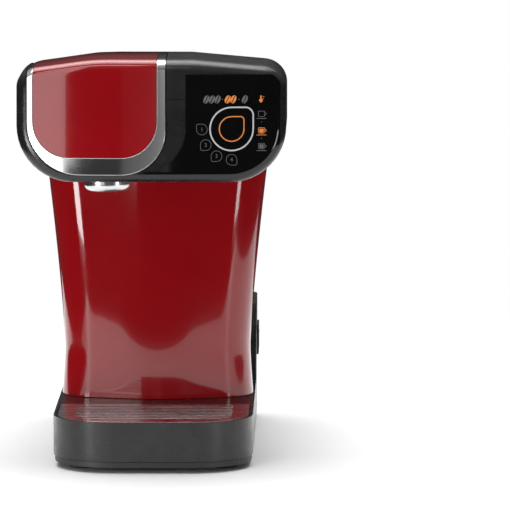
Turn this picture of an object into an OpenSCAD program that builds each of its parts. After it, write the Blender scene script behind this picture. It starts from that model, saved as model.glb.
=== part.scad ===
// Pod coffee machine: a wide head on a waisted column, with a water tank behind it and a drip tray
// in front. Front is -Y, the machine stands on four rubber feet, and the origin is on the surface
// that it stands on, below the middle of its overall box.

/* [Overall] */
// Width of the head, the widest part of the machine
head_w = 187; // [156:1:225]
// Depth from the front of the head to the back of the tank
body_d = 322; // [268:1:388]
// Height from the table to the crown of the head
body_h = 289; // [240:1:348]

/* [Head] */
// Height of the head at its crown
head_h = 86; // [78:1:96]
// How far the top corners of the front lie below the crown
crown_drop = 6; // [2:0.5:10]
// How far the top of the head falls from the crown to its back
back_fall = 12; // [0:1:14]
// How far the top of the front face leans back
front_lean = 5; // [0:0.5:9]
// How far the middle of the front stands before its sides
front_bow = 7; // [2:0.5:10]
// Radius of the two lower corners of the front
low_corner_r = 39; // [24:1:39]
// Wall thickness of the moulded casings
wall = 2.5; // [2:0.1:3]

/* [Brewing lid] */
// Width of the lid with its trim
lid_w = 96.2; // [93:0.1:100]
// Width of the head's rim to the left of the lid
rim_w = 7.5; // [7:0.1:10]
// Height of the head's lip below the lid
lip_h = 5; // [4.5:0.1:7]
// Thickness of the lid's skin and of its trim
skin_t = 3; // [2.4:0.1:3.6]
// Width of the trim along the lid's left edge
trim_left = 4.2; // [3:0.1:6]
// Width of the trim along the lid's right edge
trim_right = 6.2; // [4:0.1:8]
// Height of the trim along the lid's lower edge
trim_low = 12; // [8:0.5:16]
// Distance of the hinge axis behind the front of the head
hinge_back = 113; // [108:1:120]
// Depth of the hinge axis below the crown
hinge_drop = 12; // [11.5:0.1:13]
// Diameter of the hinge pin
hinge_pin_d = 3; // [2.4:0.1:3.4]
// Diameter of the hinge knuckles
knuckle_d = 9; // [8:0.1:9.4]

/* [Control panel] */
// Width of the black band between the lid and the panel
band_w = 13.9; // [11:0.1:15]
// Thickness of the panel plate
panel_t = 2.2; // [1.8:0.1:2.4]
// Height of the panel's upper edge above the bottom of the head
panel_top = 75; // [72:0.5:76]

/* [Column] */
// Width of the column where it meets the head
column_top_w = 159; // [150:1:164]
// Width of the column at its waist
waist_w = 134; // [128:1:137]
// Height of the waist above the table
waist_z = 70; // [60:1:90]
// Distance from the front of the head to the front of the column
cup_reach = 117; // [113:1:124]

/* [Base] */
// Width of the base
base_w = 140; // [139:1:146]
// Height of the base at the cup stand
base_h = 36; // [34:1:42]
// Height of the pedestal that carries the tank
pedestal_h = 92; // [90:1:104]
// Length of the drip tray
tray_l = 100; // [84:1:104]
// Height of the rubber feet
foot_h = 4; // [3:0.5:6]
// Thickness of the base plate
plate_t = 4; // [3.5:0.5:5]

/* [Water tank] */
// Width of the tank
tank_w = 134; // [128:1:137]
// Depth of the tank
tank_d = 84; // [80:1:92]
// How far the tank's lid lies below the crown of the head
tank_drop = 33; // [28:1:44]
// Wall thickness of the tank
tank_wall = 2.2; // [1.8:0.1:2.6]

/* [Fits] */
// Gap around the lid, tray and tank, which come away by hand
hand_gap = 0.5; // [0.4:0.05:0.8]
// Radial clearance of a pin that turns in its bore
pin_gap = 0.05; // [0.03:0.01:0.1]

/* [Hidden] */
$fn = 64;

// Colours
red = "#b01018";
black = "#17181a";
chrome = "#d6d8da";
grey = "#8c9094";
steel = "#b9bcbf";
rubber = "#2b2c2e";
smoke = [0.55, 0.58, 0.6, 0.45];
board_green = "#1d5b38";
copper = "#b06a3b";
silicone = "#c9c4b6";

// Main planes
front_y = -body_d / 2;
back_y = body_d / 2;
head_z = body_h - head_h;
tank_front = back_y - tank_d;
head_back = tank_front - 5;
column_front = front_y + cup_reach;
column_back = head_back;
column_split = column_front + 64;
plate_z = foot_h;
floor_z = foot_h + plate_t;
base_front = front_y + 3;
base_back = back_y - 3;
far = 400;

// Brewing lid
lid_x0 = -head_w / 2 + rim_w;
lid_x1 = lid_x0 + lid_w;
lid_z = head_z + lip_h + hand_gap;
lid_corner_left = 36;
lid_corner_right = 31;
skin_corner = 25;
hinge_y = front_y + hinge_back;
hinge_z = body_h - hinge_drop;
knuckle_r = knuckle_d / 2;
pin_r = hinge_pin_d / 2;
lid_end_y = hinge_y - knuckle_r - 0.7;
crown_y = front_y + 61;
lid_under = head_z + 47;
liner_t = 2;
knuckle_x0 = lid_x0 + 22;
knuckle_x1 = lid_x1 - 16;

// Height of the top surface above the hinge axis at the lid's rear edge, and the room its edge needs
edge_rise = body_h - back_fall * (lid_end_y - crown_y) / (head_back - crown_y) - hinge_z;
sweep_r = sqrt(pow(edge_rise, 2) + pow(hinge_y - lid_end_y, 2)) + hand_gap;

// Pod seat and spout
pod_x = lid_x0 + 54;
pod_y = front_y + 56;
pod_r = 36.5;
cradle_r = 40;
cradle_z = head_z + 31;
clamp_z = cradle_z + 8;
bay_floor = head_z + lip_h;
spout_r = 16.5;
spout_low = head_z - 10.4;
flange_r = 19;
unit_r = 12;
channel_r = 2.5;
inlet_z = head_z + 18;
inlet_offset = 9.5;

// Head parting and panel
part_z = head_z + 58;
panel_x0 = lid_x1 - 15.6;
panel_x1 = head_w / 2 - 4;
board_x0 = lid_x1 + band_w + 5;
board_x1 = panel_x1 - 5;
board_z0 = head_z + 12;
board_z1 = head_z + 68;
board_y = front_y + 15;
seat_t = 2;
guide_r = 3.2;

// Tank
pedestal_top = pedestal_h;
tank_z = pedestal_top + 3;
tank_lid_t = 10;
tank_top = body_h - tank_drop - tank_lid_t;
tank_y = (tank_front + back_y) / 2;
ear_r = 3;
ear_x = 40;
ear_w = 4;
tank_hinge_y = back_y - ear_r;
tank_hinge_z = tank_top + ear_r + 0.5;
tank_pin_r = 1.5;
neck_r = 11;
neck_bore = 8.5;
neck_z = tank_z - 9;
stem_r = 3;
dock_r = 14;
dock_z = tank_z - 15;
float_x = 46;
float_y = tank_front + 16;
float_r = 9;
float_h = 14;
rod_r = 1.6;
rod_top = tank_top - 16;
cartridge_r = 25;
cartridge_x = -16;
funnel_z = tank_top - 8;

// Pump, flow meter and heater
pump_x = -40;
pump_z = 47;
pump_y0 = tank_front + 9;
pump_y1 = base_back - 12;
pump_r = 9;
plunger_r = 5;
coil_y0 = pump_y0 + 20;
coil_y1 = coil_y0 + 32;
coil_half = 17;
meter_r = 16;
meter_z = 44;
meter_pin_r = 1;
hose_r = 3;
barb_r = 3.9;
heater_x = 28;
heater_y = column_back - wall - 34;
heater_z0 = base_h + 24;
heater_z1 = head_z - 29;
element_r = 4.15;
element_offset = 10;

// Rear details
gland_x = -45;
gland_z = 22;
disc_x = 20;
disc_z = 50;
disc_r = 34;
disc_t = 4;
switch_y = tank_y - 4;
switch_z = 62;
rocker_l = 20;
rocker_w = 13;
rocker_pin_r = 1.2;
rocker_rest = 6;

// ---- Outlines -------------------------------------------------------------------------------------

function unit(v) = v / norm(v);
function xy(p) = [p[0], p[1]];
function wrap(i, n) = (i + n) % n;
function short_turn(d) = d > 180 ? d - 360 : d < -180 ? d + 360 : d;
function angle_of(v) = atan2(v[1], v[0]);

// One corner of an outline, rounded to radius r with n steps
function fillet(a, p, c, r, n) =
    r <= 0 ? [p] :
    let (
        u = unit(a - p),
        v = unit(c - p),
        half = acos(u * v) / 2,
        centre = p + unit(u + v) * r / sin(half),
        from = angle_of(p + u * r / tan(half) - centre),
        sweep = short_turn(angle_of(p + v * r / tan(half) - centre) - from)
    )
    [for (i = [0 : n]) centre + r * [cos(from + sweep * i / n), sin(from + sweep * i / n)]];

// An outline given as [x, y, corner radius], counter-clockwise
function rounded(pts, n = 8) =
    let (k = len(pts))
    [for (i = [0 : k - 1])
        each fillet(xy(pts[wrap(i - 1, k)]), xy(pts[i]), xy(pts[wrap(i + 1, k)]), pts[i][2], n)];

function inward(a, b) = let (d = unit(b - a)) [-d[1], d[0]];

// The same outline moved inwards by d, or outwards when d is negative
function inset(pts, d) =
    let (k = len(pts))
    [for (i = [0 : k - 1])
        let (
            p = xy(pts[i]),
            n1 = inward(xy(pts[wrap(i - 1, k)]), p),
            n2 = inward(p, xy(pts[wrap(i + 1, k)])),
            q = p + d * (n1 + n2) / (1 + n1 * n2)
        )
        [q[0], q[1], pts[i][2] <= 0 ? 0 : max(pts[i][2] - d, 0.5)]];

function shifted(pts, dx, dy) = [for (p = pts) [p[0] + dx, p[1] + dy, p[2]]];

module along_x(x0, x1) translate([x0, 0, 0]) rotate([90, 0, 90]) linear_extrude(x1 - x0) children();
module along_y(y0, y1) translate([0, y1, 0]) rotate([90, 0, 0]) linear_extrude(y1 - y0) children();
module along_z(z0, z1) translate([0, 0, z0]) linear_extrude(z1 - z0) children();
module outline(pts, d = 0) polygon(rounded(inset(pts, d)));
module rod_x(x0, x1, y, z, r) translate([x0, y, z]) rotate([0, 90, 0]) cylinder(r = r, h = x1 - x0);
module rod_y(y0, y1, x, z, r) translate([x, y1, z]) rotate([90, 0, 0]) cylinder(r = r, h = y1 - y0);
module rod_z(z0, z1, x, y, r) translate([x, y, z0]) cylinder(r = r, h = z1 - z0);
module block(x0, x1, y0, y1, z0, z1) translate([x0, y0, z0]) cube([x1 - x0, y1 - y0, z1 - z0]);

// The route of a hose in space: its corners replaced by round bends of radius r
function bend(a, p, c, r, n = 4) =
    let (
        u = unit(a - p),
        v = unit(c - p),
        half = acos(u * v) / 2,
        centre = p + unit(u + v) * r / sin(half),
        e1 = unit(p + u * r / tan(half) - centre),
        e = p + v * r / tan(half) - centre,
        e2 = unit(e - e1 * (e * e1)),
        sweep = 180 - 2 * half
    )
    [for (i = [0 : n]) centre + r * (cos(sweep * i / n) * e1 + sin(sweep * i / n) * e2)];

function bent(route, r) =
    let (k = len(route))
    concat([route[0]], [for (i = [1 : k - 2]) each bend(route[i - 1], route[i], route[i + 1], r)], [route[k - 1]]);

// Direction of a path at each point, and the sideways vector that turns least along it
function heading(path) =
    let (k = len(path))
    [for (i = [0 : k - 1]) unit(path[min(i + 1, k - 1)] - path[max(i - 1, 0)])];
function sideways(t, n) = unit(n - t * (n * t));
function frames(path) =
    let (t = heading(path), start = abs(t[0][0]) < 0.9 ? [1, 0, 0] : [0, 1, 0])
    [for (i = 0, n = sideways(t[0], start); i < len(path); i = i + 1, n = i < len(path) ? sideways(t[i], n) : n)
        [t[i], n]];

// A round tube of radius r along a path
module swept(path, r, sides = 10) {
    f = frames(path);
    k = len(path);
    points = [for (i = [0 : k - 1], j = [0 : sides - 1])
        path[i] + r * (cos(360 * j / sides) * f[i][1] + sin(360 * j / sides) * cross(f[i][0], f[i][1]))];
    walls = [for (i = [0 : k - 2], j = [0 : sides - 1])
        let (j1 = (j + 1) % sides)
        [i * sides + j, (i + 1) * sides + j, (i + 1) * sides + j1, i * sides + j1]];
    polyhedron(points, concat(
        [[for (j = [0 : sides - 1]) j]],
        walls,
        [[for (j = [sides - 1 : -1 : 0]) (k - 1) * sides + j]]
    ));
}

module hose(route, r, bend_r = 8) swept(bent(route, bend_r), r);

// ---- Head -----------------------------------------------------------------------------------------

// The bow's round apex is cut back from its corner, so the corner stands that much further forward
bow_r = 480;
bow_turn = atan(2 * front_bow / head_w);
bow_tip = bow_r * (1 / cos(bow_turn) - 1);

head_plan = [
    [head_w / 2, front_y + front_bow, 14],
    [head_w / 2, front_y + 110, 120],
    [head_w / 2 - 21, head_back, 28],
    [-head_w / 2 + 21, head_back, 28],
    [-head_w / 2, front_y + 110, 120],
    [-head_w / 2, front_y + front_bow, 14],
    [0, front_y - bow_tip, bow_r]
];

head_face = [
    [-head_w / 2, head_z, low_corner_r],
    [head_w / 2, head_z, low_corner_r],
    [head_w / 2, body_h - crown_drop, 17],
    [30, body_h, 60],
    [-40, body_h, 60],
    [-head_w / 2, body_h - crown_drop - 2, 14]
];

head_side = [
    [front_y, head_z, 2],
    [head_back, head_z, 3],
    [head_back, body_h - back_fall, 12],
    [crown_y, body_h, 60],
    [front_y + front_lean, body_h - 1, 6]
];

// The whole head as one solid, moved inwards by d
module head_solid(d = 0) {
    intersection() {
        along_z(head_z - 1, body_h + 1) outline(head_plan, d);
        along_y(front_y - 1, head_back + 1) outline(head_face, d);
        along_x(-head_w / 2 - 1, head_w / 2 + 1) outline(head_side, d);
    }
}

module head_layer(d0, d1) {
    difference() {
        head_solid(d0);
        head_solid(d1);
    }
}

lid_face = [
    [lid_x0, lid_z, lid_corner_left],
    [lid_x1, lid_z, lid_corner_right],
    [lid_x1, body_h + 10, 0],
    [lid_x0, body_h + 10, 0]
];

skin_face = [
    [lid_x0 + trim_left, lid_z + trim_low, skin_corner],
    [lid_x1 - trim_right, lid_z + trim_low, skin_corner],
    [lid_x1 - trim_right, body_h + 10, 0],
    [lid_x0 + trim_left, body_h + 10, 0]
];

// The room that the lid closes and swings in, with walls d further out
module lid_bay(d = 0) {
    along_y(front_y - 5, hinge_y + d) outline(lid_face, -hand_gap - d);
    rod_x(lid_x0 - hand_gap - d, lid_x1 + hand_gap + d, hinge_y, hinge_z, sweep_r + d);
}

// The lid's share of the head, moved sideways inwards by d
module lid_share(d = 0, y1 = lid_end_y) {
    along_y(front_y - 5, y1) outline(lid_face, d);
}

module panel_face(d = 0) {
    difference() {
        intersection() {
            outline(head_face, 2.6 + d);
            translate([panel_x0 + d, head_z]) square([panel_x1 - panel_x0 - 2 * d, panel_top - d]);
        }
        outline(shifted(lid_face, band_w, 1.4), -d);
    }
}

module head_lower_housing() {
    color(black) difference() {
        union() {
            head_layer(0, wall);
            intersection() {
                head_solid(0);
                lid_bay(2);
            }
            intersection() {
                head_layer(panel_t, panel_t + seat_t);
                along_y(front_y - 1, board_y) panel_face(-2);
            }
        }
        lid_bay();
        block(-far, far, -far, far, part_z, far);
        intersection() {
            head_layer(-1, panel_t);
            along_y(front_y - 2, board_y) panel_face(-0.1);
        }
        block(board_x0, board_x1, front_y - 1, board_y, board_z0, board_z1);
        rod_z(head_z - 1, bay_floor + 1, pod_x, pod_y, spout_r + 0.2);
        block(-40, 40, column_front + 40, column_back - 22, head_z - 1, head_z + wall + 1);
        rod_y(hinge_y - 1, hinge_y + 3, pod_x, inlet_z, hose_r + 0.3);
        block(board_x0 - 3, board_x1 + 3, board_y, board_y + 3, board_z1, part_z);
    }
}

module head_top_cover() {
    color(black) difference() {
        union() {
            head_layer(0, wall);
            intersection() {
                head_solid(0);
                lid_bay(2);
            }
            intersection() {
                head_solid(1);
                hinge_bosses();
            }
        }
        difference() {
            lid_bay();
            hinge_bosses();
        }
        block(-far, far, -far, far, 0, part_z);
        intersection() {
            head_layer(-1, panel_t);
            along_y(front_y - 2, board_y) panel_face(-0.1);
        }
        block(board_x0, board_x1, front_y - 1, board_y, board_z0, board_z1);
        rod_x(knuckle_x0 - 9, knuckle_x1 + 9, hinge_y, hinge_z, pin_r);
    }
}

// Two eyes that hold the ends of the hinge pin, each on a web from the rear wall of the bay
module hinge_bosses() {
    for (x = [knuckle_x0 - 6, knuckle_x1 + hand_gap]) {
        rod_x(x, x + 5.5, hinge_y, hinge_z, knuckle_r - 0.3);
        block(x, x + 5.5, hinge_y, hinge_y + sweep_r + 1, hinge_z - knuckle_r + 0.3, hinge_z);
    }
}

module control_panel_plate() {
    color("#0b0c0e") intersection() {
        head_layer(0, panel_t);
        along_y(front_y - 2, board_y) panel_face();
    }
}

// Lit symbols on the panel: [across, up] from the middle of the main ring
ring_x = head_w / 2 - 37.7;
ring_z = head_z + 37.5;
guides = [
    [-20.5, 0], [-17.8, -11], [-10.4, -18.7], [0, -21.2],
    [-14.5, 20.6], [-0.9, 20.6], [9.1, 20.6], [20.6, 20.6],
    [20.6, 10.2], [20.6, -1.2], [20.6, -12],
    [0, 0]
];

module icon_light_guides() {
    color("#e9ecee") intersection() {
        head_solid(panel_t + 0.02);
        for (g = guides)
            rod_y(front_y, board_y, ring_x + g[0], ring_z + g[1], guide_r);
    }
}

module touch_board() {
    color(board_green) intersection() {
        block(board_x0 - 3, board_x1 + 3, board_y, board_y + 1.6, board_z0 - 3, board_z1 + 2);
        head_solid(wall + 0.5);
    }
}

module pod_cradle() {
    window_y = pod_y - 24;
    color(grey) difference() {
        intersection() {
            rod_z(bay_floor, cradle_z, pod_x, pod_y, cradle_r);
            lid_bay();
        }
        rod_z(bay_floor - 1, cradle_z - 8, pod_x, pod_y, pod_r - 1);
        rod_z(cradle_z - 4, cradle_z + 1, pod_x, pod_y, pod_r);
        rod_z(bay_floor, cradle_z, pod_x, pod_y, unit_r + 0.2);
        block(pod_x - 8, pod_x + 8, window_y - 4, window_y + 4, cradle_z - 5.5, cradle_z);
        block(pod_x - 6, pod_x + 6, window_y - 2.5, window_y + 2.5, cradle_z - 9, cradle_z);
        rod_y(pod_y + 20, pod_y + cradle_r + 1, pod_x, inlet_z, hose_r + 0.3);
        block(pod_x - 9, pod_x + 9, front_y, pod_y - cradle_r + 9, cradle_z - 4, cradle_z + 1);
    }
}

module pod_reader_window() {
    window_y = pod_y - 24;
    color([0.7, 0.1, 0.1, 0.6])
        block(pod_x - 8, pod_x + 8, window_y - 4, window_y + 4, cradle_z - 5.5, cradle_z - 4);
}

module pod_reader_board() {
    window_y = pod_y - 24;
    color(board_green)
        block(pod_x - 10, pod_x + 10, window_y - 5, window_y + 5, cradle_z - 9.6, cradle_z - 8);
}

// Collects the drink and pierces the pod from below
module piercing_unit() {
    color("#3c3f42") difference() {
        union() {
            rod_z(bay_floor + 3, cradle_z - 4, pod_x, pod_y, unit_r);
            rod_z(cradle_z - 4, cradle_z - 2, pod_x, pod_y, unit_r + 4);
            translate([pod_x, pod_y, cradle_z - 2]) cylinder(r1 = 4, r2 = 1.5, h = 6);
            rod_y(pod_y + unit_r - 1, pod_y + unit_r + 8, pod_x, inlet_z, hose_r);
        }
        rod_z(bay_floor + 2, cradle_z + 5, pod_x, pod_y, 1);
        rod_z(inlet_z - 2, cradle_z, pod_x, pod_y + inlet_offset, 1.2);
        rod_y(pod_y + inlet_offset, pod_y + unit_r + 9, pod_x, inlet_z, 1);
    }
}

module inlet_seal() {
    color(silicone) difference() {
        rod_z(cradle_z - 2, cradle_z - 0.5, pod_x, pod_y + inlet_offset, 3);
        rod_z(cradle_z - 3, cradle_z, pod_x, pod_y + inlet_offset, 1.5);
    }
}

module drink_spout() {
    low_r = 11;
    curve = spout_r - low_r;
    color(steel) {
        translate([pod_x, pod_y, 0]) rotate_extrude() polygon(concat(
            [[channel_r, bay_floor + 3], [channel_r, spout_low], [low_r, spout_low]],
            [for (a = [15 : 15 : 90]) [low_r + curve * sin(a), spout_low + curve * (1 - cos(a))]],
            [[spout_r, bay_floor + 3]]
        ));
        difference() {
            intersection() {
                rod_z(bay_floor, bay_floor + 3, pod_x, pod_y, flange_r);
                lid_bay();
            }
            rod_z(bay_floor - 1, bay_floor + 4, pod_x, pod_y, spout_r - 1);
        }
    }
}

module lid_hinge_pin() color(steel) rod_x(knuckle_x0 - 8, knuckle_x1 + 8, hinge_y, hinge_z, pin_r);

module lid_switch() {
    x = lid_x1 + hand_gap + 2;
    color(black) block(x, x + 6, hinge_y - 32, hinge_y - 20, head_z + 44, head_z + 54);
}

// ---- Lid ------------------------------------------------------------------------------------------

module lid_skin() {
    color(red) intersection() {
        head_layer(0, skin_t);
        along_y(front_y - 5, lid_end_y) outline(skin_face);
    }
}

module lid_trim() {
    color(chrome) difference() {
        intersection() {
            head_layer(0, skin_t);
            lid_share();
        }
        along_y(front_y - 5, lid_end_y + 1) outline(skin_face);
    }
}

lid_screw_at = [[lid_x0 + 14, hinge_y - 14], [lid_x1 - 14, hinge_y - 14]];

// Inner frame: a skirt behind the front, a floor under the top, and the hinge knuckles
module lid_frame() {
    skirt_y = front_y + 15;
    color(black) difference() {
        union() {
            difference() {
                intersection() {
                    head_solid(skin_t);
                    lid_share(1);
                }
                difference() {
                    intersection() {
                        head_solid(skin_t + liner_t);
                        lid_share(1 + liner_t, lid_end_y - liner_t);
                    }
                    block(-far, far, -far, far, lid_under, lid_under + liner_t);
                }
                block(-far, far, skirt_y, far, 0, lid_under);
            }
            rod_x(knuckle_x0, knuckle_x1, hinge_y, hinge_z, knuckle_r);
            block(knuckle_x0, knuckle_x1, lid_end_y - 1, hinge_y, hinge_z - knuckle_r, hinge_z + 1);
        }
        rod_x(knuckle_x0 - 1, knuckle_x1 + 1, hinge_y, hinge_z, pin_r + pin_gap);
        for (p = lid_screw_at) rod_z(lid_under - 1, lid_under + 8, p[0], p[1], 1.5);
    }
}

module lid_screws() {
    color(steel) for (p = lid_screw_at) {
        rod_z(lid_under - 2, lid_under, p[0], p[1], 3);
        rod_z(lid_under, lid_under + 6, p[0], p[1], 1.5);
    }
}

module pod_clamp() {
    color(grey) difference() {
        union() {
            rod_z(clamp_z + 4, lid_under, pod_x, pod_y, 14);
            rod_z(clamp_z, clamp_z + 4, pod_x, pod_y, pod_r - 2);
        }
        rod_z(clamp_z - 1, clamp_z + 2, pod_x, pod_y, 24);
    }
}

module clamp_pad() {
    color(silicone) difference() {
        rod_z(clamp_z - 2, clamp_z, pod_x, pod_y, pod_r - 3);
        rod_z(clamp_z - 3, clamp_z + 1, pod_x, pod_y, pod_r - 9);
    }
}

// ---- Column ---------------------------------------------------------------------------------------

function column_half(z) =
    waist_w / 2
    + (column_top_w - waist_w) / 2 * pow(abs(z - waist_z) / (head_z - waist_z), 1.3);

// Its sides run up to the rounded lower corners of the head
module column_solid(d = 0) {
    steps = 16;
    z1 = head_z + low_corner_r / 3;
    right = [for (i = [0 : steps]) let (z = base_h + (z1 - base_h) * i / steps) [column_half(z) - d, z]];
    left = [for (i = [steps : -1 : 0]) [-right[i][0], right[i][1]]];
    half = column_top_w / 2 + 3;
    back_half = head_w / 2 - 22;
    plan = [
        [back_half, column_back, 16],
        [-back_half, column_back, 16],
        [-half, column_front + 18, 30],
        [0, column_front, 140],
        [half, column_front + 18, 30]
    ];
    intersection() {
        along_y(column_front - 1, column_back + 1) difference() {
            polygon(concat(right, left));
            outline(head_face);
        }
        along_z(base_h, z1) outline(plan, d);
    }
}

module column_front_shell() {
    color(red) intersection() {
        difference() {
            column_solid();
            column_solid(wall);
        }
        block(-far, far, -far, column_split, 0, far);
    }
}

module column_chassis() {
    color(black) difference() {
        union() {
            intersection() {
                difference() {
                    column_solid();
                    column_solid(wall);
                }
                block(-far, far, column_split, far, 0, far);
            }
            for (z = [heater_z0 + 20, heater_z1 - 26])
                block(heater_x - 8, heater_x + 8, heater_y + 15, column_back - 1, z, z + 6);
        }
    }
}

// ---- Base -----------------------------------------------------------------------------------------

base_plan = [
    [base_w / 2, base_back, 20],
    [-base_w / 2, base_back, 20],
    [-base_w / 2, base_front, 44],
    [base_w / 2, base_front, 44]
];
tray_y1 = base_front + tray_l;
tray_z = floor_z + 0.3;

foot_at = [for (x = [-1, 1], y = [base_front + 36, base_back - 22]) [x * (base_w / 2 - 20), y]];
base_screw_at = [for (x = [-1, 1], y = [tray_y1 + 12, base_back - 40]) [x * (base_w / 2 - 6), y]];
foot_r = 9;
peg_r = 3;
screw_r = 1.5;
screw_head_r = 3.2;

module base_plate() {
    color(black) difference() {
        along_z(plate_z, floor_z) outline(base_plan, 1);
        for (p = foot_at) rod_z(plate_z - 1, floor_z + 1, p[0], p[1], peg_r);
        for (p = base_screw_at) {
            rod_z(plate_z - 1, floor_z + 1, p[0], p[1], screw_r);
            rod_z(plate_z - 1, plate_z + 2, p[0], p[1], screw_head_r);
        }
    }
}

module rubber_feet() {
    color(rubber) for (p = foot_at) {
        rod_z(0, plate_z, p[0], p[1], foot_r);
        rod_z(plate_z, floor_z - 0.5, p[0], p[1], peg_r);
    }
}

module base_screws() {
    color(steel) for (p = base_screw_at) {
        rod_z(plate_z, plate_z + 2, p[0], p[1], screw_head_r);
        rod_z(plate_z + 2, floor_z + 8, p[0], p[1], screw_r);
    }
}

// The base and pedestal outline at one inset, from the tray to the back, in two heights
module base_solid(d = 0) {
    intersection() {
        along_z(floor_z, base_h - d) outline(base_plan, d);
        block(-far, far, tray_y1 + hand_gap + d, far, 0, far);
    }
    intersection() {
        along_z(floor_z, pedestal_top - d) outline(base_plan, d);
        block(-far, far, column_back + d, far, 0, far);
    }
}

module base_housing() {
    color(black) difference() {
        union() {
            difference() {
                base_solid();
                base_solid(wall);
                block(-base_w / 2 + 12, base_w / 2 - 12, tray_y1 + 20, base_back - 20, floor_z - 1, floor_z + 1);
            }
            for (p = base_screw_at) rod_z(floor_z, floor_z + 12, p[0], p[1], 4);
            rod_y(base_back - 8, base_back - 1, disc_x, disc_z, disc_r + 3);
        }
        for (p = base_screw_at) rod_z(floor_z - 1, floor_z + 8, p[0], p[1], screw_r);
        rod_y(base_back - 6, base_back + 1, disc_x, disc_z, disc_r + 0.4);
        rod_y(base_back - 6, base_back + 1, disc_x, disc_z + disc_r, 9);
        rod_z(dock_z - 1, pedestal_top + 1, 0, tank_y, dock_r + 2);
        rod_y(base_back - 7, base_back + 1, gland_x, gland_z, 5);
        block(base_w / 2 - 4, base_w / 2 + 1, switch_y - 13, switch_y + 13, switch_z - 9, switch_z + 9);
        rod_z(base_h - wall - 1, base_h + 1, heater_x, heater_y, hose_r + 0.5);
    }
}

module cord_gland() {
    color(rubber) difference() {
        union() {
            rod_y(base_back - 6, base_back, gland_x, gland_z, 5);
            rod_y(base_back, base_back + 3, gland_x, gland_z, 8);
            rod_y(base_back - 9, base_back - 6, gland_x, gland_z, 7);
        }
        rod_y(base_back - 10, base_back + 4, gland_x, gland_z, 3.5);
    }
}

// ---- Power switch and cleaning disc ----------------------------------------------------------------

module switch_bezel() {
    x = base_w / 2;
    color("#202124") difference() {
        union() {
            block(x - 10, x, switch_y - 13, switch_y + 13, switch_z - 9, switch_z + 9);
            block(x, x + 1.5, switch_y - 15, switch_y + 15, switch_z - 11, switch_z + 11);
        }
        block(x - 8, x + 2, switch_y - rocker_l / 2 - 1, switch_y + rocker_l / 2 + 1,
            switch_z - rocker_w / 2 - 0.3, switch_z + rocker_w / 2 + 0.3);
        rod_z(switch_z - rocker_w / 2 - 1.5, switch_z + rocker_w / 2 + 1.5, x - 3.5, switch_y, rocker_pin_r + pin_gap);
    }
}

module power_rocker() {
    x = base_w / 2 - 3.5;
    color("#26282b") translate([x, switch_y, switch_z]) rotate([0, 0, rocker_rest]) {
        difference() {
            rod_z(-rocker_w / 2, rocker_w / 2, 0, 0, rocker_l / 2);
            block(-rocker_l, -3, -rocker_l, rocker_l, -rocker_w, rocker_w);
            block(4.5, rocker_l, -rocker_l, rocker_l, -rocker_w, rocker_w);
        }
        rod_z(-rocker_w / 2 - 1.3, rocker_w / 2 + 1.3, 0, 0, rocker_pin_r);
    }
}

module cleaning_disc() {
    color("#d08a2c") difference() {
        rod_y(base_back - 6, base_back - 6 + disc_t, disc_x, disc_z, disc_r);
        rod_y(base_back - 3, base_back, disc_x, disc_z, disc_r - 8);
    }
}

// ---- Drip tray ------------------------------------------------------------------------------------

module tray_outline(d) {
    intersection() {
        outline(base_plan, d);
        translate([-far, -far]) square([2 * far, far + tray_y1 - d]);
    }
}

grate_t = 3;
grate_z = base_h - grate_t;
ledge = 4;
slot_pitch = 8;

module drip_tray() {
    color(black) difference() {
        along_z(tray_z, base_h) tray_outline(0);
        along_z(tray_z + wall, grate_z) tray_outline(ledge);
        along_z(grate_z, base_h + 1) tray_outline(wall);
    }
}

module drip_grate() {
    color(steel) difference() {
        along_z(grate_z, base_h) tray_outline(wall + hand_gap);
        for (y = [base_front + 18 : slot_pitch : tray_y1 - 14]) {
            reach = min(base_w / 2 - 16, base_w / 2 - 46 + sqrt(pow(44, 2) - pow(max(0, base_front + 44 - y), 2)) - 12);
            block(-reach, reach, y, y + 4, grate_z - 1, base_h + 1);
            for (x = [-reach, reach]) rod_z(grate_z - 1, base_h + 1, x, y + 2, 2);
        }
    }
}

// ---- Water tank -----------------------------------------------------------------------------------

tank_plan = [
    [tank_w / 2, back_y, 20],
    [-tank_w / 2, back_y, 20],
    [-tank_w / 2, tank_front, 8],
    [tank_w / 2, tank_front, 8]
];

module tank_ears() {
    for (x = [-ear_x - ear_w, ear_x]) {
        rod_x(x, x + ear_w, tank_hinge_y, tank_hinge_z, ear_r);
        block(x, x + ear_w, tank_hinge_y - ear_r, back_y, tank_top - 6, tank_hinge_z);
    }
}

module tank_shell() {
    color(smoke) difference() {
        union() {
            difference() {
                along_z(tank_z, tank_top) outline(tank_plan);
                along_z(tank_z + tank_wall, tank_top + 1) outline(tank_plan, tank_wall);
            }
            along_z(funnel_z - 3, funnel_z) difference() {
                outline(tank_plan, tank_wall - 0.2);
                outline(tank_plan, tank_wall + 1.5);
            }
            rod_z(tank_z + 1, rod_top, float_x, float_y, rod_r);
            tank_ears();
        }
        rod_z(tank_z - 1, tank_z + 5, 0, tank_y, neck_bore);
        rod_x(-ear_x - ear_w - 1, ear_x + ear_w + 1, tank_hinge_y, tank_hinge_z, tank_pin_r);
    }
}

// Neck with the valve's seat, welded to the underside of the tank
module tank_outlet() {
    color(grey) difference() {
        rod_z(neck_z, tank_z, 0, tank_y, neck_r);
        rod_z(neck_z + 2, tank_z + 1, 0, tank_y, neck_bore);
        rod_z(neck_z - 1, neck_z + 3, 0, tank_y, stem_r + 0.15);
        for (a = [0 : 60 : 300])
            rod_z(neck_z - 1, neck_z + 3, 5.6 * cos(a), tank_y + 5.6 * sin(a), 1);
    }
}

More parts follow.
